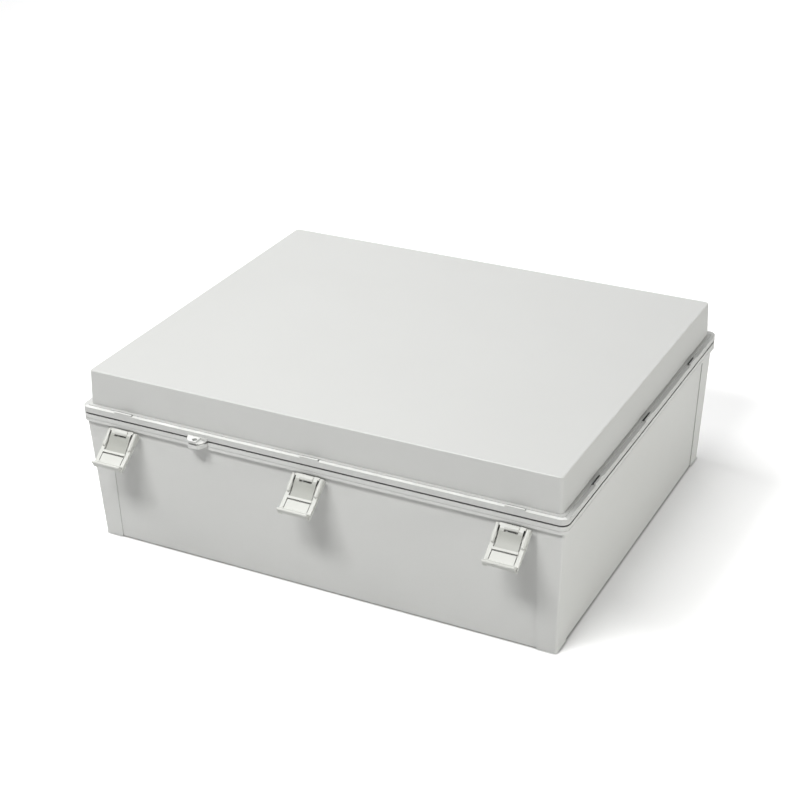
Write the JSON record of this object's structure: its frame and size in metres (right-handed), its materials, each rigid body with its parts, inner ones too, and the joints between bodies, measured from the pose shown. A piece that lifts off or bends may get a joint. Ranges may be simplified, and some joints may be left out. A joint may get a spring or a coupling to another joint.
{
  "type": "hinged enclosure",
  "caption": "Wall-mounting hinged polycarbonate enclosure with drafted base, stepped lid flange, over-centre front latches and internal mounting plate",
  "frame": {"origin": "middle of the four wall-fixing holes, on the plane of the feet", "axes": "+Z out of the wall through the lid, -Y towards the latches, +Y towards the lid hinges, +X to the right seen from the latches"},
  "size_m": [0.6, 0.5516, 0.217],
  "materials": {
    "polycarbonate_base": "satin light grey, moulded",
    "polycarbonate_lid": "satin light grey, moulded",
    "latch_plastic": "satin off-white",
    "hinge_plastic": "satin light grey",
    "gasket_foam": "foamed polyurethane",
    "steel_pins": "drawn",
    "steel_screws": "zinc plated",
    "galvanised_plate": "galvanised",
    "brass_inserts": "turned"
  },
  "bodies": {
    "base": {"base_shell": "polycarbonate_base", "latch_bracket_screws": "steel_screws", "hinge_base_screws": "steel_screws", "mounting_plate": "galvanised_plate", "plate_inserts": "brass_inserts", "plate_washers": "steel_screws", "plate_screws": "steel_screws", "latch_bracket_left": "latch_plastic", "latch_bracket_middle": "latch_plastic", "latch_bracket_right": "latch_plastic", "latch_link_pin_left": "steel_pins", "latch_link_pin_middle": "steel_pins", "latch_link_pin_right": "steel_pins", "hinge_base_leaf_left": "hinge_plastic", "hinge_base_leaf_middle": "hinge_plastic", "hinge_base_leaf_right": "hinge_plastic", "hinge_pin_left": "steel_pins", "hinge_pin_middle": "steel_pins", "hinge_pin_right": "steel_pins"},
    "lid": {"lid_shell": "polycarbonate_lid", "lid_gasket": "gasket_foam", "hinge_lid_screws": "steel_screws", "hinge_lid_leaf_left": "hinge_plastic", "hinge_lid_leaf_middle": "hinge_plastic", "hinge_lid_leaf_right": "hinge_plastic"},
    "link_left": {"latch_link_left": "latch_plastic", "latch_lever_pin_left": "steel_pins"},
    "lever_left": {"latch_lever_left": "latch_plastic"},
    "link_middle": {"latch_link_middle": "latch_plastic", "latch_lever_pin_middle": "steel_pins"},
    "lever_middle": {"latch_lever_middle": "latch_plastic"},
    "link_right": {"latch_link_right": "latch_plastic", "latch_lever_pin_right": "steel_pins"},
    "lever_right": {"latch_lever_right": "latch_plastic"}
  },
  "joints": [
    {"name": "lid_hinge", "type": "hinge", "parent": "base", "child": "lid", "pos_m": [0, 0.2555, 0.1645], "axis": [-1, 0, 0], "range_deg": [0, 180]},
    {"name": "latch_link_hinge_left", "type": "hinge", "parent": "base", "child": "link_left", "pos_m": [-0.242, -0.2509, 0.15006], "axis": [-1, 0, 0], "range_deg": [0, 122.48]},
    {"name": "latch_lever_hinge_left", "type": "hinge", "parent": "link_left", "child": "lever_left", "pos_m": [-0.242, -0.26116, 0.14078], "axis": [-1, 0, 0], "range_deg": [-172.2, 0]},
    {"name": "latch_link_hinge_middle", "type": "hinge", "parent": "base", "child": "link_middle", "pos_m": [0, -0.2509, 0.15006], "axis": [-1, 0, 0], "range_deg": [0, 122.48]},
    {"name": "latch_lever_hinge_middle", "type": "hinge", "parent": "link_middle", "child": "lever_middle", "pos_m": [0, -0.26116, 0.14078], "axis": [-1, 0, 0], "range_deg": [-172.2, 0]},
    {"name": "latch_link_hinge_right", "type": "hinge", "parent": "base", "child": "link_right", "pos_m": [0.242, -0.2509, 0.15006], "axis": [-1, 0, 0], "range_deg": [0, 122.48]},
    {"name": "latch_lever_hinge_right", "type": "hinge", "parent": "link_right", "child": "lever_right", "pos_m": [0.242, -0.26116, 0.14078], "axis": [-1, 0, 0], "range_deg": [-172.2, 0]}
  ],
  "couplings": [
    {"joint": "latch_lever_hinge_left", "follows": "latch_link_hinge_left", "ratio": -1.4051},
    {"joint": "latch_lever_hinge_middle", "follows": "latch_link_hinge_middle", "ratio": -1.4051},
    {"joint": "latch_lever_hinge_right", "follows": "latch_link_hinge_right", "ratio": -1.4051}
  ]
}
